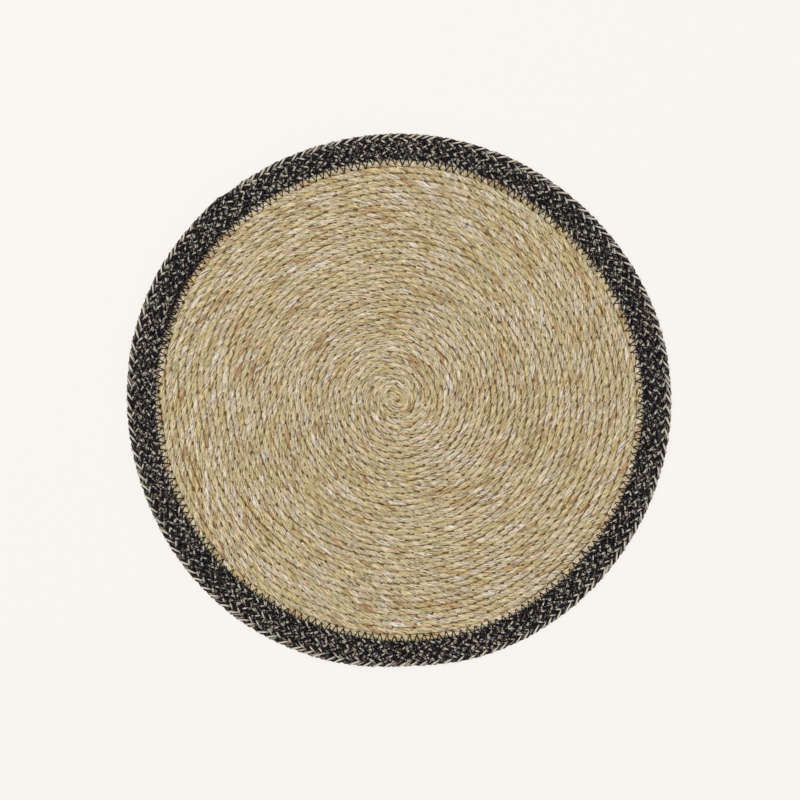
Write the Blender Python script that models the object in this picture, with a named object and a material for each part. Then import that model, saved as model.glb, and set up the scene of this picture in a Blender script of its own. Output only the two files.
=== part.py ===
"""A round seagrass placemat: a flat centre of wound seagrass cord, and a border of plaited jute.

Metres, +Z up. The mat lies flat on z = 0 with the origin under its middle. Directions are in
degrees, counted anticlockwise from +X as seen from above. The plait is one strip that winds
clockwise and outward around the centre, a little over three times.
"""

import math

import bpy

# The mat as a whole.
SEAM_RADIUS = 0.1683  # mean radius of the joint between the centre and the border
RIM_RADIUS = 0.18945  # mean radius of the outer edge
GAP = 0.0003  # clear space between neighbouring solids and turns

# The centre: seagrass cord wound flat, as thick as the cord.
CENTRE_THICK = 0.0042
CENTRE_ROUNDING = 0.0011

# The border: one plaited strip.
BRAID_THICK = 0.005
BRAID_ROUNDING = 0.0015
BRAID_END_THICK = 0.0034  # thickness where the strip's ends are pressed flat and tucked in
BRAID_START_DEG = 167.0
BRAID_TURNED_DEG = 3 * 360.0 + 42.0  # how far the strip winds from end to end
START_TAPER_DEG = 28.0
END_TAPER_DEG = 14.0
LEAST_SHARE = 0.24  # the strip's ends are cut where they are this share of the full width

STEP_DEG = 4.0  # spacing of the stations around the mat, the same for every outline

# How the two outlines leave a true circle. Each row is one wave: how many lobes it has around
# the mat, how far a lobe stands out, and the direction of one crest.
SEAM_WAVES = (
    # lobes, height, crest_deg
    (1, 0.0011, 241.0),
    (2, 0.0014, -17.0),
    (3, 0.0005, -34.0),
    (4, 0.0005, 5.0),
    (5, 0.0005, 6.0),
)
RIM_WAVES = (
    # lobes, height, crest_deg
    (1, 0.0015, 224.0),
    (2, 0.0016, -5.0),
    (3, 0.0005, 10.0),
    (4, 0.0003, -24.0),
    (5, 0.0005, 11.0),
)
# Short local changes of the outer edge: the strip's tucked end, and a stretch drawn in tight.
RIM_BUMPS = (
    # middle_deg, height, reach_deg
    (131.0, 0.0017, 4.0),
    (272.0, -0.0020, 9.0),
)

SEAGRASS_COLOUR = (0.45, 0.355, 0.215, 1.0)
BRAID_COLOUR = (0.08, 0.07, 0.062, 1.0)
SEAGRASS_ROUGHNESS = 0.7
BRAID_ROUGHNESS = 0.85
SHARP_EDGE = math.radians(50)


def remove_everything():
    for old in list(bpy.data.objects):
        bpy.data.objects.remove(old, do_unlink=True)


def wavy(direction, radius, waves):
    """A circle's radius in that direction with its waves added."""
    return radius + sum(
        height * math.cos(lobes * math.radians(direction - crest_deg))
        for lobes, height, crest_deg in waves
    )


def seam_radius(direction):
    return wavy(direction, SEAM_RADIUS, SEAM_WAVES)


def rim_radius(direction):
    radius = wavy(direction, RIM_RADIUS, RIM_WAVES)
    for middle_deg, height, reach_deg in RIM_BUMPS:
        away = (direction - middle_deg + 180.0) % 360.0 - 180.0
        radius += height * math.exp(-((away / reach_deg) ** 2))
    return radius


def eased(part):
    """0 to 1 with a soft start and end."""
    part = min(max(part, 0.0), 1.0)
    return part * part * (3.0 - 2.0 * part)


def share(turned):
    """The strip's width as a share of the full width, after it has turned that far."""
    return eased(turned / START_TAPER_DEG) * eased((BRAID_TURNED_DEG - turned) / END_TAPER_DEG)


def rows_at(turned):
    """How many rows of strip lie side by side in that direction, tapered ones counted in part."""
    lap = turned % 360.0
    rows = 0.0
    while lap < BRAID_TURNED_DEG:
        rows += share(lap)
        lap += 360.0
    return rows


def strip_edges(turned):
    """The inner and outer radius of the strip after it has turned that far, without the gap."""
    direction = BRAID_START_DEG - turned
    seam = seam_radius(direction)
    row_width = (rim_radius(direction) - seam) / rows_at(turned)
    rows_inside = 0.0
    lap = turned - 360.0
    while lap > 0.0:
        rows_inside += share(lap)
        lap -= 360.0
    inner = seam + row_width * rows_inside
    return inner, inner + row_width * share(turned)


def point(direction, radius, height):
    turn = math.radians(direction)
    return (radius * math.cos(turn), radius * math.sin(turn), height)


def middle_of_rim():
    """The middle of the outline's bounding box, which becomes the origin."""
    steps = round(360.0 / STEP_DEG)
    around = [BRAID_START_DEG - STEP_DEG * k for k in range(steps)]
    corners = [point(direction, rim_radius(direction) - GAP / 2, 0.0) for direction in around]
    xs = [corner[0] for corner in corners]
    ys = [corner[1] for corner in corners]
    return (min(xs) + max(xs)) / 2, (min(ys) + max(ys)) / 2


def centre_rings():
    """Closed rings from the middle of the underside, round the edge, to the middle of the top."""
    steps = round(360.0 / STEP_DEG)
    around = [BRAID_START_DEG - STEP_DEG * k for k in range(steps)]
    levels = (
        # drawn in from the edge, height
        (CENTRE_ROUNDING, 0.0),
        (0.0, CENTRE_ROUNDING),
        (0.0, CENTRE_THICK - CENTRE_ROUNDING),
        (CENTRE_ROUNDING, CENTRE_THICK),
    )
    return [
        [point(direction, seam_radius(direction) - GAP / 2 - inset, height) for direction in around]
        for inset, height in levels
    ]


def strip_section(turned):
    """The strip's eight-sided section after it has turned that far."""
    direction = BRAID_START_DEG - turned
    inner, outer = strip_edges(turned)
    inner += GAP / 2
    outer -= GAP / 2
    fullness = eased((share(turned) - LEAST_SHARE) / (1.0 - LEAST_SHARE))
    top = BRAID_END_THICK + (BRAID_THICK - BRAID_END_THICK) * fullness
    cut = min(BRAID_ROUNDING, (outer - inner) / 3)
    corners = (
        (inner, cut),
        (inner, top - cut),
        (inner + cut, top),
        (outer - cut, top),
        (outer, top - cut),
        (outer, cut),
        (outer - cut, 0.0),
        (inner + cut, 0.0),
    )
    return [point(direction, radius, height) for radius, height in corners]


def strip_sections():
    stations = round(BRAID_TURNED_DEG / STEP_DEG)
    turns = [STEP_DEG * k for k in range(stations + 1)]
    return [strip_section(turned) for turned in turns if share(turned) >= LEAST_SHARE]


def skin(rings):
    """A closed mesh through rings of equally many points, its two ends filled."""
    size = len(rings[0])
    points = [corner for ring in rings for corner in ring]
    faces = []
    for k in range(len(rings) - 1):
        for i in range(size):
            j = (i + 1) % size
            faces.append((k * size + i, (k + 1) * size + i, (k + 1) * size + j, k * size + j))
    last = (len(rings) - 1) * size
    faces.append(tuple(range(size)))
    faces.append(tuple(last + i for i in reversed(range(size))))
    return points, faces


def make_material(name, colour, roughness):
    material = bpy.data.materials.new(name)
    material.use_nodes = True
    shader = material.node_tree.nodes["Principled BSDF"]
    shader.inputs["Base Color"].default_value = colour
    shader.inputs["Roughness"].default_value = roughness
    shader.inputs["Metallic"].default_value = 0.0
    return material


def make_solid(name, rings, shift, material):
    points, faces = skin(rings)
    mesh = bpy.data.meshes.new(name)
    mesh.from_pydata([(x - shift[0], y - shift[1], z) for x, y, z in points], [], faces)
    mesh.materials.append(material)
    mesh.shade_smooth()
    mesh.set_sharp_from_angle(angle=SHARP_EDGE)
    solid = bpy.data.objects.new(name, mesh)
    bpy.context.scene.collection.objects.link(solid)
    return solid


def main():
    remove_everything()
    shift = middle_of_rim()
    seagrass = make_material("seagrass", SEAGRASS_COLOUR, SEAGRASS_ROUGHNESS)
    braid = make_material("braid", BRAID_COLOUR, BRAID_ROUGHNESS)
    make_solid("seagrass_centre", centre_rings(), shift, seagrass)
    make_solid("braid_border", strip_sections(), shift, braid)


main()
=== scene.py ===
"""The looks of a round seagrass placemat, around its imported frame.

The centre is two-ply seagrass cord wound flat, the border is a three-strand plait of black and
natural jute wound on around it, and black zigzag stitches hold the turns of plait together.
Metres, +Z up. Directions are in degrees, anticlockwise from +X as seen from above. Cord and plait
both wind clockwise and outward, and "turned" is how far they have wound from their start.
"""

import math

import bpy
import numpy as np
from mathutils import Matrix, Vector


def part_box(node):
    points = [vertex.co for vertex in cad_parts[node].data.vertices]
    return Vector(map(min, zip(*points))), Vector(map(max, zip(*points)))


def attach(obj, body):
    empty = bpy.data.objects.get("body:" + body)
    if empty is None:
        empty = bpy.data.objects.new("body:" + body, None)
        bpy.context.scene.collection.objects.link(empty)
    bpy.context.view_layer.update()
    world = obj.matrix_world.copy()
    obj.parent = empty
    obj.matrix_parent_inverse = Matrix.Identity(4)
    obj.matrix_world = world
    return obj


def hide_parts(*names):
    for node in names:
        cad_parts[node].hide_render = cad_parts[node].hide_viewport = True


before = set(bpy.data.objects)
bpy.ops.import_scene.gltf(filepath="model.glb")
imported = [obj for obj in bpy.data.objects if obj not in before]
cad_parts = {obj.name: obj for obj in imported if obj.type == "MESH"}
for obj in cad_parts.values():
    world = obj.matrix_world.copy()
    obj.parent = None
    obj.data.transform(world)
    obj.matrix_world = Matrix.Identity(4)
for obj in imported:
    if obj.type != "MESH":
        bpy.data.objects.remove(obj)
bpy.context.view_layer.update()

BODY = "root"
CENTRE = "seagrass_centre"
BORDER = "braid_border"
MM = 0.001
UP = np.array((0.0, 0.0, 1.0))

CENTRE_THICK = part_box(CENTRE)[1].z
BRAID_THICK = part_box(BORDER)[1].z

# The plaited strip's winding, the same as its solid's.
BRAID_START_DEG = 167.0
BRAID_TURNED_DEG = 3 * 360.0 + 42.0
START_TAPER_DEG = 28.0
END_TAPER_DEG = 14.0
LEAST_SHARE = 0.1  # of its width, where the strip's thin ends stop, a little beyond the solid's

# How far the looks' seam and rim lie outside the solids'. The last row of cord bulges, and the
# plait's folds reach out.
SEAM_SHIFT = 2.0 * MM
RIM_SHIFT = 0.45 * MM

# The seagrass cord, wound from the mat's middle.
CORD_TURNS = 40
CORD_START_TURNS = 0.06
CORD_END_TAPER_DEG = 22.0
CORD_LAY = 25 * MM  # one full twist of its two plies
CORD_MIDDLE = np.array((-3.2 * MM, 2.0 * MM))  # where its winding starts, off the mat's middle
CORD_WANDER = 0.28 * MM  # how far a row strays to either side
FIRST_FOLD = 4.0 * MM  # the cord starts as a short straight fold, which leaves the first rows oval
FIRST_FOLD_DEG = -45.0
FOLD_STEPS = 7
PLY_OFF = 0.22  # from the cord's middle to a ply's, as a share of the rows' spacing
PLY_HALF_THICK = 0.32  # a ply's half sizes, as shares of the rows' spacing
PLY_HALF_WIDE = 0.51
PLY_ROUND = 8.6 * MM  # how far it is around a ply
PLY_RINGS_APART = 1.6 * MM
PLY_CORNERS_DEG = (0.0, 42.0, 86.0, 142.0, 218.0, 274.0, 318.0)

# The plait: strands of yarns that lie side by side and fold over at the strip's edges.
STRANDS = 3
YARNS = 5
NATURAL_YARNS = (0, 2)  # the undyed ones of each strand
PLAIT_LENGTH = 25 * MM  # one full cycle of a strand from edge to edge and back
STRAND_RISE = 1.15 * MM
STRAND_SPREAD = 2.6 * MM  # half the length of edge that one strand's fold takes up
FOLD_INSET = 0.35 * MM  # from the strip's edge to the middle of the folded yarns
FOLD_TIGHT = 0.96  # 1 makes the folds sharp corners
YARN_RADIUS = 0.6 * MM
YARN_ROUND = 3.7 * MM  # how far it is around a yarn
YARNS_HIGH = 0.55 * MM
YARN_RINGS_APART = 1.45 * MM
YARN_SIDES = 6
# Flecked yarns: natural ones get spots of painted shade, black ones more stray pale fibres.
FLECKED_FROM = 4 * MM  # how far inside the rim the yarns turn from plain to flecked
FLECKED_OVER = 3 * MM

# The black zigzag that sews each turn of plait to what is inside it.
ZIGZAG_TOOTH = 5.3 * MM
ZIGZAG_OUT = 2.9 * MM  # how far its points reach outward and inward from the strip's inner edge
ZIGZAG_IN = 4.2 * MM
ZIGZAG_WANDER = 0.8 * MM
ZIGZAG_EDGE = 1.0 * MM  # how far it stays inside the mat's outline
STITCH_DEPTH = 1.3 * MM  # how deep its holes draw the thread in
STITCH_STEPS = np.array((0.0, 0.1, 0.35, 0.65, 0.9))  # along each leg, as shares of it
STITCH_SUNK = np.array((1.0, 0.1, 0.0, 0.0, 0.1))  # how deep the thread is at each of those steps
THREAD_RADIUS = 0.44 * MM
THREAD_PRESSED = 0.22 * MM  # its half thickness where the mat rests on it
THREAD_ROUND = 1.5 * MM
THREAD_SIDES = 5
THREAD_CLEAR = 0.05 * MM  # from the mat's face to its middle, or the table to its lower edge
UNDERSIDE = 0.35 * MM  # how far its stitches hold the mat off the table

# The mat's hidden middle, where rows press together: a sheet coloured as painted shade, seen between
# the rows, that keeps the floor from showing between them.
MIDDLE_UNDER_CORD = (1.3 * MM, 2.9 * MM)  # its lower and upper face
MIDDLE_UNDER_PLAIT = (1.9 * MM, 2.3 * MM)
MIDDLE_INSET = 1.3 * MM  # from the mat's outline
MIDDLE_STEP_DEG = 3.0


def eased(part):
    """0 to 1 with a soft start and end."""
    part = np.clip(part, 0.0, 1.0)
    return part * part * (3.0 - 2.0 * part)


def drift(length, reach, seed):
    """Soft random wandering, mostly within -1 to 1, that changes over the given reach."""
    draws = np.random.default_rng(seed)
    place = np.asarray(length) / reach
    place = place - place.min()
    knots = np.clip(draws.normal(0.0, 0.6, int(place.max()) + 2), -1.3, 1.3)
    step = place.astype(int)
    part = eased(place - step)
    return knots[step] * (1.0 - part) + knots[step + 1] * part


# ---------------------------------------------------------------- outlines and winding

class Outline:
    """The outer edge of a CAD node, as a radius in each direction."""

    STEP_DEG = 1.0
    FAR = 0.5
    SOFTENED = 3  # stations averaged, which rounds the solid's facets

    def __init__(self, node, height):
        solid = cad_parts[node]
        self.directions = np.arange(0.0, 360.0, self.STEP_DEG)
        radii = np.array([self.reach(solid, direction, height) for direction in self.directions])
        shifts = range(-(self.SOFTENED // 2), self.SOFTENED // 2 + 1)
        self.radii = np.mean([np.roll(radii, shift) for shift in shifts], axis=0)

    def reach(self, solid, direction, height):
        turn = math.radians(direction)
        away = Vector((math.cos(turn), math.sin(turn), 0.0))
        start = away * self.FAR + Vector((0.0, 0.0, height))
        place = solid.ray_cast(start, -away)[1]
        return place.xy.length

    def __call__(self, direction):
        return np.interp(direction, self.directions, self.radii, period=360.0)


seam = Outline(CENTRE, CENTRE_THICK / 2)
rim = Outline(BORDER, BRAID_THICK / 2)
seam.radii += SEAM_SHIFT
rim.radii += RIM_SHIFT


def share(turned):
    """The strip's width as a share of its full width."""
    return eased(turned / START_TAPER_DEG) * eased((BRAID_TURNED_DEG - turned) / END_TAPER_DEG)


def rows_inside(turned):
    """How many rows of strip lie inside the one that has turned that far."""
    laps = range(1, 4)
    return sum(share(turned - 360.0 * lap) * (turned > 360.0 * lap) for lap in laps)


def rows_at(turned):
    """How many rows of strip lie side by side in that direction."""
    first = turned % 360.0
    laps = [first + 360.0 * lap for lap in range(4)]
    return sum(share(lap) * (lap < BRAID_TURNED_DEG) for lap in laps)


def strip_edges(turned):
    """The inner and outer radius of the strip."""
    direction = BRAID_START_DEG - turned
    width = (rim(direction) - seam(direction)) / rows_at(turned)
    inner = seam(direction) + width * rows_inside(turned)
    return inner, inner + width * share(turned)


def place_on_mat(direction, radius):
    """Points on the floor's plane, in the directions and at the radii given."""
    turn = np.radians(direction)
    return np.stack([radius * np.cos(turn), radius * np.sin(turn), np.zeros_like(radius)], axis=1)


def lengths(points):
    """How far along a path each of its points lies."""
    steps = np.linalg.norm(np.diff(points, axis=0), axis=1)
    return np.concatenate([[0.0], np.cumsum(steps)])


def between(at, places, vectors):
    """Vectors known at some places along a path, read off at others."""
    return np.stack([np.interp(at, places, vectors[:, k]) for k in range(3)], axis=1)


def sides_of(points):
    """The level sideways and the upward unit vectors all along a path."""
    lead = np.gradient(points, axis=0)
    lead = lead / np.linalg.norm(lead, axis=1)[:, None]
    side = np.cross(UP, lead)
    side = side / np.linalg.norm(side, axis=1)[:, None]
    return side, np.cross(lead, side)


class Way:
    """A path that winds clockwise on the mat, resampled to a spacing."""

    def __init__(self, turned, points, spacing):
        along = lengths(points)
        gaps = np.interp((along[1:] + along[:-1]) / 2, along, spacing * np.ones_like(along))
        rings = np.concatenate([[0.0], np.cumsum(np.diff(along) / gaps)])
        at = np.linspace(0.0, rings[-1], int(rings[-1]) + 1)
        self.along = np.interp(at, rings, along)
        self.turned = np.interp(at, rings, turned)
        self.points = between(at, rings, points)
        self.outward = sides_of(self.points)[0]


def cord_way(turned):
    """Where the cord's middle lies, and how wide its row is there."""
    turned_all = 360.0 * CORD_TURNS
    direction = BRAID_START_DEG + turned_all - turned

    # How many rows lie inside this one, as a share of all the rows in its direction.
    lap = (BRAID_START_DEG - direction) % 360.0
    rows = CORD_TURNS - 0.5 + lap / 360.0 - (1.0 - eased((360.0 - lap) / CORD_END_TAPER_DEG))
    left = eased((turned_all - turned) / CORD_END_TAPER_DEG)
    part = (turned / 360.0 - 0.5 + 0.5 * left) / rows

    # Rows widen a little outward, start oval, and take on the seam's shape as they near it.
    reach = part * (0.97 + 0.03 * part**4)
    mean = seam.radii.mean()
    radius = reach * (mean + (seam(direction) - mean) * reach**1.2)
    oval = np.cos(np.radians(direction - FIRST_FOLD_DEG)) ** 2
    radius = radius + FIRST_FOLD * np.exp(-reach / 0.16) * oval
    points = place_on_mat(direction, radius)
    points[:, :2] += CORD_MIDDLE * ((1.0 - np.clip(reach, 0, 1)) ** 1.5)[:, None]

    # The cord is thin at both ends.
    started = 0.6 + 0.4 * eased(turned / 200.0)
    pitch = mean / rows * (0.97 + 0.15 * part**4) * np.maximum(left, 0.3) * started
    return points, pitch


# ---------------------------------------------------------------- meshes

class Tubes:
    """Swept tubes that become one mesh, with maps along and around each tube."""

    EDGE = 0.06  # clear edge of each strip of the bake map, as a share of its height

    def __init__(self, name):
        self.name = name
        self.points = []
        self.quads = []
        self.caps = []
        self.strands = []
        self.marks = {}
        self.count = 0

    def add(self, centres, side, up, wide, high, corners, along, **marks):
        """One tube: an oval section at each centre, wide along side and high along up."""
        rings, sides = len(centres), len(corners)
        across = np.cos(corners)[None, :, None] * (side * wide[:, None])[:, None, :]
        above = np.sin(corners)[None, :, None] * (up * high[:, None])[:, None, :]
        self.points.append((centres[:, None, :] + across + above).reshape(-1, 3))
        ring = np.arange(rings - 1)[:, None] * sides
        here = np.arange(sides)[None, :]
        after = (here + 1) % sides
        quads = np.stack([ring + here, ring + after, ring + sides + after, ring + sides + here], axis=2)
        self.quads.append(quads.reshape(-1, 4) + self.count)
        first = np.arange(sides)[::-1] + self.count
        last = np.arange(sides) + (rings - 1) * sides + self.count
        self.caps += [first.tolist(), last.tolist()]
        self.strands.append(self.strand_map(corners, along))
        for mark, value in marks.items():
            spread = np.asarray(value, float).reshape(-1, 1)
            self.marks.setdefault(mark, []).append(np.broadcast_to(spread, (rings, sides)).ravel())
        self.sides = sides
        self.count += rings * sides

    @staticmethod
    def strand_map(corners, along):
        """Metres along and turns around one tube, at its quads' corners."""
        turn = np.append(corners, corners[0] + 2 * math.pi) / (2 * math.pi)
        flat = np.zeros((len(along) - 1, len(corners), 4, 2))
        flat[..., 0, 0] = flat[..., 1, 0] = along[:-1, None]
        flat[..., 2, 0] = flat[..., 3, 0] = along[1:, None]
        flat[..., 0, 1] = flat[..., 3, 1] = turn[None, :-1]
        flat[..., 1, 1] = flat[..., 2, 1] = turn[None, 1:]
        return flat.reshape(-1, 2)

    def bake_map(self, perimeter):
        """A map that lays all the tubes out as strips, row under row."""
        length = sum(np.ptp(flat[:, 0]) for flat in self.strands)
        rings = sum(len(quads) for quads in self.quads) // self.sides
        rows = max(1, round(math.sqrt(length / perimeter)))
        per_row = math.ceil(rings / rows)
        ring = np.repeat(np.arange(rings), self.sides)
        side = np.tile(np.arange(self.sides), rings)
        left = (ring % per_row) / per_row
        low = (ring // per_row + self.EDGE + side / self.sides * (1 - 2 * self.EDGE)) / rows
        tall = (1 - 2 * self.EDGE) / self.sides / rows
        flat = np.zeros((len(ring), 4, 2))
        flat[:, 0] = np.stack([left, low], axis=1)
        flat[:, 1] = np.stack([left, low + tall], axis=1)
        flat[:, 2] = np.stack([left + 1 / per_row, low + tall], axis=1)
        flat[:, 3] = np.stack([left + 1 / per_row, low], axis=1)
        return flat.reshape(-1, 2)

    def make(self, perimeter, material):
        """One mesh of all the tubes, whose sections measure that far around."""
        points = np.concatenate(self.points)
        quads = np.concatenate(self.quads)
        mesh = bpy.data.meshes.new(self.name)
        mesh.from_pydata(points.tolist(), [], quads.tolist() + self.caps)
        on_caps = np.zeros((sum(len(cap) for cap in self.caps), 2))
        maps = {"strand": np.concatenate(self.strands), "OFBake": self.bake_map(perimeter)}
        for name, flat in maps.items():
            layer = mesh.uv_layers.new(name=name)
            layer.uv.foreach_set("vector", np.concatenate([flat, on_caps]).ravel())
        for mark, values in self.marks.items():
            layer = mesh.attributes.new(mark, "FLOAT", "POINT")
            layer.data.foreach_set("value", np.concatenate(values))
        mesh.shade_smooth()
        mesh.materials.append(material)
        piece = bpy.data.objects.new(self.name, mesh)
        bpy.context.scene.collection.objects.link(piece)
        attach(piece, BODY)
        return piece


# ---------------------------------------------------------------- materials

def linear(red, green, blue):
    """A colour from its 0 to 255 display values."""
    parts = [value / 255 for value in (red, green, blue)]
    return tuple(p / 12.92 if p <= 0.04045 else ((p + 0.055) / 1.055) ** 2.4 for p in parts) + (1.0,)


class Socket:
    """A material's socket. Arithmetic on it adds Math nodes."""

    def __init__(self, finish, output):
        self.finish = finish
        self.output = output

    def math(self, operation, *values):
        return self.finish.node("ShaderNodeMath", {"operation": operation}, dict(enumerate(values)))

    def __add__(self, other):
        return self.math("ADD", self, other)

    def __radd__(self, other):
        return self.math("ADD", other, self)

    def __sub__(self, other):
        return self.math("SUBTRACT", self, other)

    def __rsub__(self, other):
        return self.math("SUBTRACT", other, self)

    def __mul__(self, other):
        return self.math("MULTIPLY", self, other)

    def __rmul__(self, other):
        return self.math("MULTIPLY", other, self)

    def __truediv__(self, other):
        return self.math("DIVIDE", self, other)

    def __abs__(self):
        return self.math("ABSOLUTE", self)

    def wrapped(self):
        return self.math("FRACT", self)

    def sine(self):
        return self.math("SINE", self)

    def within(self, low, high):
        """0 at low to 1 at high, with a soft start and end."""
        settings = {"interpolation_type": "SMOOTHSTEP"}
        return self.finish.node("ShaderNodeMapRange", settings, {0: self, 1: low, 2: high})


class Finish:
    """A material on a Principled BSDF, and the one way its nodes are made."""

    def __init__(self, name, roughness, shine=0.5):
        self.material = bpy.data.materials.new(name)
        self.material.use_nodes = True
        self.tree = self.material.node_tree
        self.shader = self.tree.nodes["Principled BSDF"]
        self.shader.inputs["Roughness"].default_value = roughness
        self.shader.inputs["Specular IOR Level"].default_value = shine

    def feed(self, socket, value):
        """A link to the socket, or a plain value on it."""
        if isinstance(value, Socket):
            self.tree.links.new(value.output, socket)
        else:
            socket.default_value = value

    def node(self, kind, settings=None, sockets=None, output=0):
        """A node with its settings, then its sockets' values or links."""
        node = self.tree.nodes.new(kind)
        for name, value in (settings or {}).items():
            if name == "stops":
                self.set_stops(node.color_ramp, value)
            else:
                setattr(node, name, value)
        for name, value in (sockets or {}).items():
            self.feed(node.inputs[name], value)
        return Socket(self, node.outputs[output])

    @staticmethod
    def set_stops(ramp, stops):
        while len(ramp.elements) < len(stops):
            ramp.elements.new(1.0)
        for element, (position, colour) in zip(ramp.elements, stops):
            element.position = position
            element.color = colour

    def mix(self, factor, first, second, blend="MIX"):
        settings = {"data_type": "RGBA", "blend_type": blend}
        return self.node("ShaderNodeMix", settings, {0: factor, 6: first, 7: second}, 2)

    def mark(self, name):
        """A mesh attribute, as a number."""
        return self.node("ShaderNodeAttribute", {"attribute_name": name}, output=2)

    def strand(self):
        """Metres along the strand, and turns around it."""
        flat = self.node("ShaderNodeUVMap", {"uv_map": "strand"})
        along = self.node("ShaderNodeSeparateXYZ", None, {0: flat}, 0)
        around = self.node("ShaderNodeSeparateXYZ", None, {0: flat}, 1)
        return along, around

    def vector(self, x, y, z=0.0):
        return self.node("ShaderNodeCombineXYZ", None, {0: x, 1: y, 2: z})

    def position(self, axis):
        place = self.node("ShaderNodeNewGeometry")
        return self.node("ShaderNodeSeparateXYZ", None, {0: place}, axis)

    def place(self):
        return self.node("ShaderNodeNewGeometry")

    def noise(self, vector, scale, detail=2.0):
        sockets = {"Vector": vector, "Scale": scale, "Detail": detail}
        return self.node("ShaderNodeTexNoise", None, sockets)

    def grain(self, along, around, apart=0.0, detail=1.0):
        """Noise in a strand's own directions. The last place keeps one grain unlike the next."""
        return self.noise(self.vector(along, around, apart), 1.0, detail)

    def shaded(self, tone, light):
        """A tone times a light."""
        return self.mix(1.0, tone, self.vector(light, light, light), "MULTIPLY")

    def lift(self, thick):
        """0 in the middle of a mat that thick to 1 at its faces."""
        return abs(self.position(2) - thick / 2) / (thick / 2)

    def bump(self, height, strength, distance):
        sockets = {"Height": height, "Strength": strength, "Distance": distance}
        normal = self.node("ShaderNodeBump", None, sockets)
        self.feed(self.shader.inputs["Normal"], normal)

    def colour(self, value):
        self.feed(self.shader.inputs["Base Color"], value)


STRAW_TONES = (
    # share of the leaves, display colour
    (0.000, (186, 148, 106)),
    (0.035, (180, 154, 114)),
    (0.120, (199, 176, 130)),
    (0.280, (203, 187, 139)),
    (0.420, (207, 189, 160)),
    (0.550, (196, 188, 144)),
    (0.660, (210, 189, 159)),
    (0.800, (210, 196, 163)),
    (0.940, (213, 201, 180)),
    (1.000, (218, 208, 193)),
)


def seagrass_finish():
    """Twisted seagrass: long leaves of many tones, finely streaked, with painted shade in slits,
    creases and where rows meet.
    """
    finish = Finish("seagrass_straw", 0.6, 0.35)
    along, around = finish.strand()
    turned = around + along * 12.0  # the leaves wind around their ply

    # Leaves about 30 mm long, three side by side around the ply, each with a tone of its own.
    leaves = finish.vector(along * 34.0, turned * 3.0)
    cell = finish.node(
        "ShaderNodeTexVoronoi",
        {"voronoi_dimensions": "2D", "feature": "F1"},
        {"Vector": leaves, "Scale": 1.0, "Randomness": 0.9},
        1,
    )
    pick = finish.node("ShaderNodeSeparateColor", None, {0: cell}, 0)
    shade = finish.node("ShaderNodeSeparateColor", None, {0: cell}, 1)
    stops = [(share_of, linear(*colour)) for share_of, colour in STRAW_TONES]
    tone = finish.node("ShaderNodeValToRGB", {"stops": stops}, {0: pick})

    # Lighter and darker streaks, and slow patches over several rows.
    streak = finish.grain(along * 70.0, turned * 11.0, detail=4.0).within(0.3, 0.7)
    fine = finish.grain(along * 260.0, turned * 18.0, 2.0, detail=2.0).within(0.34, 0.52)
    patch = finish.noise(finish.place(), 28.0, 2.0)
    light = 0.48 + streak * 0.12 + fine * 0.8 + shade * 0.06 + patch * 0.14

    # Painted shade: dark slits, wavering creases between leaves, and holes where rows and plies meet.
    crack = finish.grain(along * 200.0, turned * 16.0, 3.0)
    waver = finish.grain(along * 45.0, turned * 2.0, 6.0)
    edge = (turned * 8.0 + waver * 2.5).wrapped()
    broken = finish.grain(along * 150.0, turned * 4.0, 9.0)
    crease = (1.0 - edge.within(0.0, 0.35)) * broken.within(0.4, 0.55)
    deep_between_rows = 1.0 - finish.lift(CENTRE_THICK).within(0.3, 0.7)
    hole = finish.node(
        "ShaderNodeTexVoronoi",
        {"voronoi_dimensions": "3D", "feature": "F1"},
        {"Vector": finish.place(), "Scale": 230.0, "Randomness": 1.0},
    )
    dark = 1.0 - (1.0 - crack.within(0.34, 0.4)) * 0.85
    dark = dark * (1.0 - crease * 0.75)
    open_here = 1.0 - hole.within(0.24, 0.36)
    dark = dark * (1.0 - deep_between_rows * open_here * 0.7)
    # Painted light: low places between rows are lighter around the holes.
    full = finish.shaded(tone, light * dark * (1.0 + deep_between_rows * (1.0 - open_here) * 0.35))
    # Painted shade turns browner where it is darkest.
    brown = finish.mix(1.0, full, linear(206, 168, 112), "MULTIPLY")
    finish.colour(finish.mix(1.0 - dark, full, brown))
    finish.bump(streak, 0.6, 0.3 * MM)
    return finish.material


def jute_finish():
    """Black and natural jute yarns, each of two hairy plies."""
    finish = Finish("jute_yarn", 0.85, 0.1)
    along, around = finish.strand()
    turned = around + along * 130.0  # the plies wind around each other
    plies = abs((turned * (2 * math.pi)).sine())
    fibres = finish.grain(along * 600.0, turned * 12.0, detail=3.0)
    patch = finish.noise(finish.place(), 160.0, 2.0)
    pale = finish.mix(patch.within(0.35, 0.65), linear(236, 220, 202), linear(228, 224, 202))
    black = finish.mix(patch.within(0.35, 0.65), linear(48, 39, 40), linear(38, 40, 52))

    # Natural yarns are pale with flecks of painted shade, and black ones have stray pale fibres.
    natural = finish.mark("natural")
    flecked = finish.mark("flecked")
    fleck = finish.noise(finish.place(), 290.0, 1.0).within(0.53, 0.57) * flecked
    stray = finish.grain(along * 300.0, around * 2.0, 4.0).within(0.56, 0.61)
    pale_share = natural * (1.0 - fleck * 0.85) + (1.0 - natural) * stray * (0.5 + flecked * 0.4)
    # Painted shade: darker towards the middle of the plait's thickness, and in the groove between each
    # yarn's two plies.
    height_shade = 0.45 + finish.lift(BRAID_THICK).within(0.05, 0.75) * 0.55
    light = (0.5 + fibres) * height_shade * (0.7 + plies.within(0.0, 0.6) * 0.3)
    finish.colour(finish.shaded(finish.mix(pale_share, black, pale), light))
    finish.bump(fibres + plies, 0.6, 0.25 * MM)
    return finish.material


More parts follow.
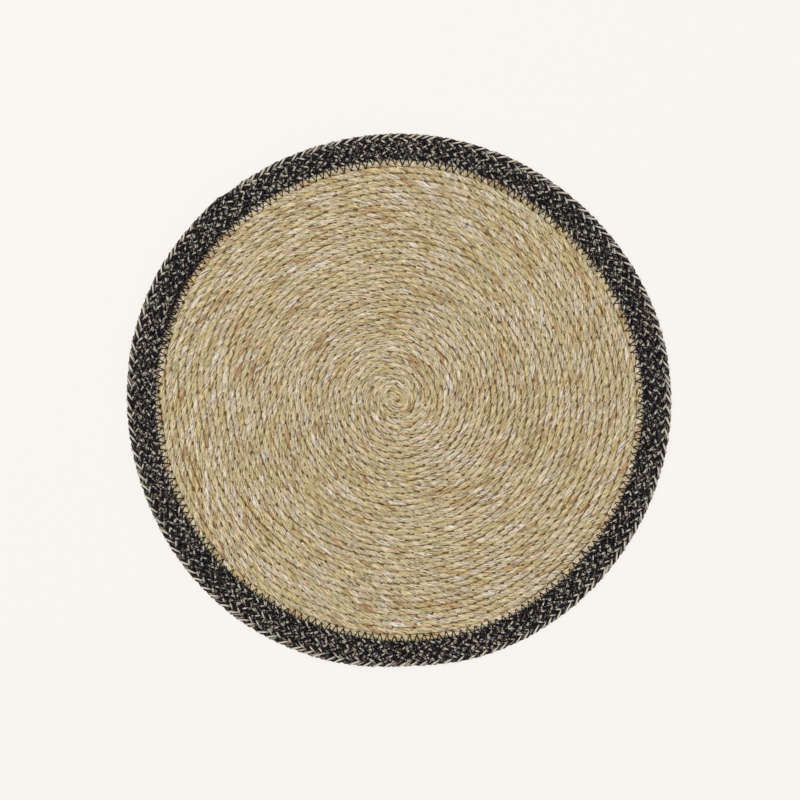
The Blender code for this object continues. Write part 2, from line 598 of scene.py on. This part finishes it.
def thread_finish():
    """Black sewing thread, tightly twisted."""
    finish = Finish("black_thread", 0.6, 0.2)
    along, around = finish.strand()
    turn = ((around + along * 900.0) * (2 * math.pi * 2)).sine()
    # Painted shade: darker in the grooves of the twist, lighter on its ridges.
    finish.colour(finish.mix(turn.within(-1.0, 1.0), linear(12, 9, 10), linear(30, 26, 29)))
    finish.bump(turn, 0.4, 0.08 * MM)
    return finish.material


# ---------------------------------------------------------------- the seagrass centre

def cord_pieces(material):
    """The wound cord's two plies, in three bands of turns."""
    turned = np.arange(360.0 * CORD_START_TURNS, 360.0 * CORD_TURNS + 0.5, 1.0)
    points, pitch = cord_way(turned)
    fold = np.radians(FIRST_FOLD_DEG)
    far_end = np.append(CORD_MIDDLE + 0.6 * FIRST_FOLD * np.array((np.cos(fold), np.sin(fold))), 0.0)
    points = np.concatenate([np.linspace(far_end, points[0], FOLD_STEPS + 1)[:-1], points])
    turned = np.concatenate([turned[0] - np.arange(FOLD_STEPS, 0.0, -1.0), turned])
    pitch = np.concatenate([np.full(FOLD_STEPS, pitch[0]), pitch])
    radius = np.linalg.norm(points[:, :2] - CORD_MIDDLE, axis=1)
    spacing = np.clip(0.2 * radius, 0.5 * MM, PLY_RINGS_APART)
    way = Way(turned, points, spacing)
    pitch = np.interp(way.turned, turned, pitch)
    centres = way.points + way.outward * (CORD_WANDER * drift(way.along, 14 * MM, 11))[:, None]
    height = CENTRE_THICK / 2 * (1.0 + 0.05 * drift(way.along, 30 * MM, 12))
    centres = centres + UP * height[:, None]
    twist = 2 * math.pi * way.along / CORD_LAY
    twist = twist + 6.0 * drift(way.along, 150 * MM, 13) + 0.7 * drift(way.along, 40 * MM, 14)
    corners = np.radians(PLY_CORNERS_DEG)
    cuts = np.searchsorted(way.along, way.along[-1] * np.array((0.0, 1 / 3, 2 / 3, 1.0)))
    names = ("seagrass_rows_inner", "seagrass_rows_middle", "seagrass_rows_outer")
    bands = []
    for band, name in enumerate(names):
        tubes = Tubes(name)
        span = slice(cuts[band], cuts[band + 1] + 1)
        for ply in range(2):
            angle = (twist + math.pi * ply)[span, None]
            side = np.cos(angle) * way.outward[span] + np.sin(angle) * UP
            up = np.cos(angle) * UP - np.sin(angle) * way.outward[span]
            plump = 1.0 + 0.11 * drift(way.along, 14 * MM, 21 + ply)[span]
            width = pitch[span] * plump
            tubes.add(
                centres[span] + side * (PLY_OFF * width)[:, None],
                side,
                up,
                PLY_HALF_THICK * width,
                PLY_HALF_WIDE * width,
                corners,
                way.along[span] + 7.0 * ply,  # far enough that the plies share no leaf
            )
        for block in tubes.points:
            block[:, 2] = np.clip(block[:, 2], UNDERSIDE, CENTRE_THICK + 0.1 * MM)
        piece = tubes.make(PLY_ROUND, material)
        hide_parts(CENTRE)
        bands.append(piece)
    return bands


# ---------------------------------------------------------------- the plaited border

def strip_way(spacing):
    """The path of the strip's middle, and its width."""
    turned = np.arange(0.0, BRAID_TURNED_DEG + 0.5, 1.0)
    turned = turned[share(turned) >= LEAST_SHARE]
    inner, outer = strip_edges(turned)
    direction = BRAID_START_DEG - turned
    way = Way(turned, place_on_mat(direction, (inner + outer) / 2), spacing)
    way.width = np.interp(way.turned, turned, outer - inner)
    return way


def border_pieces(material):
    """The wound plait, one piece for each turn.

    Each strand is a flat ribbon of yarns that goes from edge to edge and turns over at each fold,
    where its yarns reach the edge one after another. It lies above the other strands on its way to
    an edge, and below them on its way back.
    """
    way = strip_way(YARN_RINGS_APART)
    full = share(way.turned)
    corners = np.linspace(0.0, 2 * math.pi, YARN_SIDES, endpoint=False)
    names = ("braid_turn_inner", "braid_turn_middle", "braid_turn_outer")
    cuts = [*np.searchsorted(way.turned, (0.0, 360.0, 720.0)), len(way.along)]
    turns = [Tubes(name) for name in names]
    swing = way.width / 2 - FOLD_INSET * full
    swing = swing * (1 + 0.04 * drift(way.along, 20 * MM, 31))
    fan = 2 * math.pi * STRAND_SPREAD / PLAIT_LENGTH
    fleck_reach = 8 * MM * np.maximum(drift(way.along, 130 * MM, 37) - 0.25, 0)  # brings flecks nearer the rim
    for strand in range(STRANDS):
        phase = 2 * math.pi * (way.along / PLAIT_LENGTH + strand / STRANDS)
        phase = phase + 0.25 * drift(way.along, 60 * MM, 40 + strand)
        roll = 0.8 * drift(way.along, 16 * MM, 50 + strand)
        for yarn in range(YARNS):
            number = YARNS * strand + yarn
            angle = 2 * math.pi * yarn / YARNS + roll + math.pi / 2
            wander = 0.2 * MM * drift(way.along, 8 * MM, 60 + number)
            turn = phase + fan * np.cos(angle)
            facing = np.tanh(3 * np.cos(turn))  # 1 going outward, -1 going back, turned over
            layer = YARNS_HIGH * full * np.sin(angle) + wander
            across = swing * np.arcsin(FOLD_TIGHT * np.sin(turn)) / math.asin(FOLD_TIGHT)
            across = across + layer * np.sqrt(1 - facing**2)
            above = STRAND_RISE * full * np.sin(2 * turn) + layer * facing
            above = above + BRAID_THICK / 2 * (0.4 + 0.6 * full)
            centres = way.points + way.outward * across[:, None] + UP * above[:, None]
            side, up = sides_of(centres)
            inward = rim(BRAID_START_DEG - way.turned) - np.linalg.norm(centres[:, :2], axis=1)
            flecked = eased((inward + fleck_reach - FLECKED_FROM) / FLECKED_OVER)
            thick = YARN_RADIUS * np.maximum(full, 0.45)
            thick = thick * (1 + 0.1 * drift(way.along, 9 * MM, 80 + number))
            natural = 1.0 if yarn in NATURAL_YARNS else 0.0
            for lap, tubes in enumerate(turns):
                span = slice(cuts[lap], cuts[lap + 1] + 1)
                tubes.add(
                    centres[span],
                    side[span],
                    up[span],
                    thick[span],
                    thick[span],
                    corners,
                    way.along[span] + 1.7 * number,  # no two yarns share their fibres
                    natural=natural,
                    flecked=flecked[span],
                )
    pieces = []
    for tubes in turns:
        for block in tubes.points:
            block[:, 2] = np.maximum(block[:, 2], UNDERSIDE)
        piece = tubes.make(YARN_ROUND, material)
        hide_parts(BORDER)
        pieces.append(piece)
    return pieces


# ---------------------------------------------------------------- sewing

def zigzag_pieces(material):
    """The black zigzag along the strip's inner edge, on both faces of the mat."""
    turned = np.arange(0.0, BRAID_TURNED_DEG, 0.5)
    inner, _ = strip_edges(turned)
    edge = Way(turned, place_on_mat(BRAID_START_DEG - turned, inner), ZIGZAG_TOOTH / 8)
    draws = np.random.default_rng(5)
    holes = np.arange(2 * int(edge.along[-1] / ZIGZAG_TOOTH) + 1)
    at = (holes + draws.normal(0.0, 0.05, len(holes))) * ZIGZAG_TOOTH / 2
    reach = np.where(holes % 2 == 0, ZIGZAG_OUT, -ZIGZAG_IN)
    reach = reach * (1 + 0.12 * draws.normal(0, 1, len(holes)))

    # The thread goes straight from hole to hole.
    where = (holes[:-1, None] + STITCH_STEPS[None, :]).ravel()
    sunk = np.tile(STITCH_SUNK, len(holes) - 1)
    along = np.interp(where, holes, at)
    turned = np.interp(along, edge.along, edge.turned)
    radius = np.interp(along, edge.along, np.linalg.norm(edge.points, axis=1))
    across = np.interp(where, holes, reach) + ZIGZAG_WANDER * drift(along, 60 * MM, 7)
    across = np.minimum(across, rim(BRAID_START_DEG - turned) - ZIGZAG_EDGE - radius)
    outward = between(along, edge.along, edge.outward)
    points = between(along, edge.along, edge.points) + outward * across[:, None]

    # The first turn's stitches step down from the plait to the thinner centre.
    on_plait = np.where(turned < 360.0, eased(across / (2 * MM) + 0.5), 1.0)
    thick = CENTRE_THICK + (BRAID_THICK - CENTRE_THICK) * on_plait
    top = thick + THREAD_CLEAR - STITCH_DEPTH * sunk
    under = np.maximum(THREAD_PRESSED + THREAD_CLEAR, thick - top)

    faces = (
        ("zigzag_thread_top", top, THREAD_RADIUS),
        ("zigzag_thread_under", under, THREAD_PRESSED),
    )
    corners = np.linspace(0.0, 2 * math.pi, THREAD_SIDES, endpoint=False)
    pieces = []
    for name, height, half_thick in faces:
        points[:, 2] = height
        side, up = sides_of(points)
        wide = np.full(len(points), THREAD_RADIUS)
        high = np.full(len(points), half_thick)
        tubes = Tubes(name)
        tubes.add(points, side, up, wide, high, corners, lengths(points))
        piece = tubes.make(THREAD_ROUND, material)
        pieces.append(piece)
    return pieces


# ---------------------------------------------------------------- the hidden middle

def middle_finish():
    """The shade between rows: dark brown under the seagrass, near black under the plait."""
    finish = Finish("shaded_fibre", 0.9, 0.1)
    under = finish.mark("under_plait")
    fibre = finish.noise(finish.place(), 700.0, 3.0).within(0.3, 0.7)
    cord_shade = finish.mix(fibre, linear(90, 68, 32), linear(152, 124, 74))
    finish.colour(finish.mix(under.within(0.3, 0.7), cord_shade, linear(18, 15, 17)))
    return finish.material


def middle_piece(material):
    """A thin closed disc inside the mat, nearly as wide as the mat is."""
    direction = np.arange(0.0, 360.0, MIDDLE_STEP_DEG)
    count = len(direction)
    joint = seam(direction) + 1.0 * MM
    outer = rim(direction) - MIDDLE_INSET
    radii = (0.33 * joint, 0.7 * joint, joint - 3.0 * MM, joint - 1.0 * MM, outer)
    under_plait = (0, 0, 0, 1, 1)

    # A middle point and five rings on each face, the upper face first.
    points = []
    for face in (1, 0):
        heights = (MIDDLE_UNDER_CORD[face], MIDDLE_UNDER_PLAIT[face])
        points.append((0.0, 0.0, heights[0]))
        for radius, plait in zip(radii, under_plait):
            ring = place_on_mat(direction, radius)
            ring[:, 2] = heights[plait]
            points += ring.tolist()
    lower = len(points) // 2
    edge = lower - count

    faces = []
    for here in range(count):
        after = (here + 1) % count
        faces.append((0, 1 + here, 1 + after))
        for low in range(1, edge, count):
            high = low + count
            faces.append((low + here, high + here, high + after, low + after))
    faces += [tuple(lower + corner for corner in reversed(face)) for face in faces]
    for here in range(edge, lower):
        after = edge + (here + 1 - edge) % count
        faces.append((here, lower + here, lower + after, after))

    mesh = bpy.data.meshes.new("mat_middle")
    mesh.from_pydata(points, [], faces)
    mark = mesh.attributes.new("under_plait", "FLOAT", "POINT")
    mark.data.foreach_set("value", np.tile([0.0, *np.repeat(under_plait, count)], 2))
    mesh.materials.append(material)
    piece = bpy.data.objects.new("mat_middle", mesh)
    bpy.context.scene.collection.objects.link(piece)
    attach(piece, BODY)
    return piece


# ---------------------------------------------------------------- floor, light and camera

FLOOR_TONE = linear(250, 246, 241)
FLOOR_HALF = 3.0
LAMP_AT = (-0.9, 1.0, 1.6)
LENS_MM = 85.0
CAMERA_AT = (0.66 * MM, 0.12 * MM)
VIEW_WIDE = 561.8 * MM  # at the height of the plait's upper face


def floor():
    """A wide pale floor that mostly glows, so it stays even and takes only a faint shade."""
    mesh = bpy.data.meshes.new("floor")
    corners = [(-1, -1), (1, -1), (1, 1), (-1, 1)]
    mesh.from_pydata([(x * FLOOR_HALF, y * FLOOR_HALF, 0.0) for x, y in corners], [], [(0, 1, 2, 3)])
    plane = bpy.data.objects.new("floor", mesh)
    bpy.context.scene.collection.objects.link(plane)
    finish = Finish("pale_floor", 0.9, 0.0)
    finish.shader.inputs["Base Color"].default_value = FLOOR_TONE
    glow = finish.node("ShaderNodeEmission", None, {"Color": FLOOR_TONE, "Strength": 1.0})
    shader = Socket(finish, finish.shader.outputs[0])
    both = finish.node("ShaderNodeMixShader", None, {0: 0.9, 1: shader, 2: glow})
    finish.feed(finish.tree.nodes["Material Output"].inputs["Surface"], both)
    mesh.materials.append(finish.material)


def lights():
    """Soft light from all around, and one broad lamp off to a side."""
    scene = bpy.context.scene
    world = bpy.data.worlds.new("studio")
    world.use_nodes = True
    sky = world.node_tree.nodes["Background"]
    sky.inputs["Color"].default_value = (1.0, 1.0, 1.0, 1.0)
    sky.inputs["Strength"].default_value = 0.75
    scene.world = world
    lamp = bpy.data.lights.new("window", "AREA")
    lamp.energy = 9.0
    lamp.shape = "DISK"
    lamp.size = 1.2
    light = bpy.data.objects.new("window", lamp)
    light.location = LAMP_AT
    light.rotation_euler = Vector(LAMP_AT).to_track_quat("Z", "Y").to_euler()
    scene.collection.objects.link(light)
    scene.view_settings.view_transform = "Standard"
    scene.view_settings.look = "None"


def camera():
    """A long lens that looks straight down."""
    data = bpy.data.cameras.new("camera")
    data.lens = LENS_MM
    eye = bpy.data.objects.new("camera", data)
    away = VIEW_WIDE * LENS_MM / data.sensor_width
    eye.location = (*CAMERA_AT, away + BRAID_THICK)
    bpy.context.scene.collection.objects.link(eye)
    bpy.context.scene.camera = eye


camera()
floor()
lights()
rows = cord_pieces(seagrass_finish())
turns = border_pieces(jute_finish())
threads = zigzag_pieces(thread_finish())
middle = middle_piece(middle_finish())
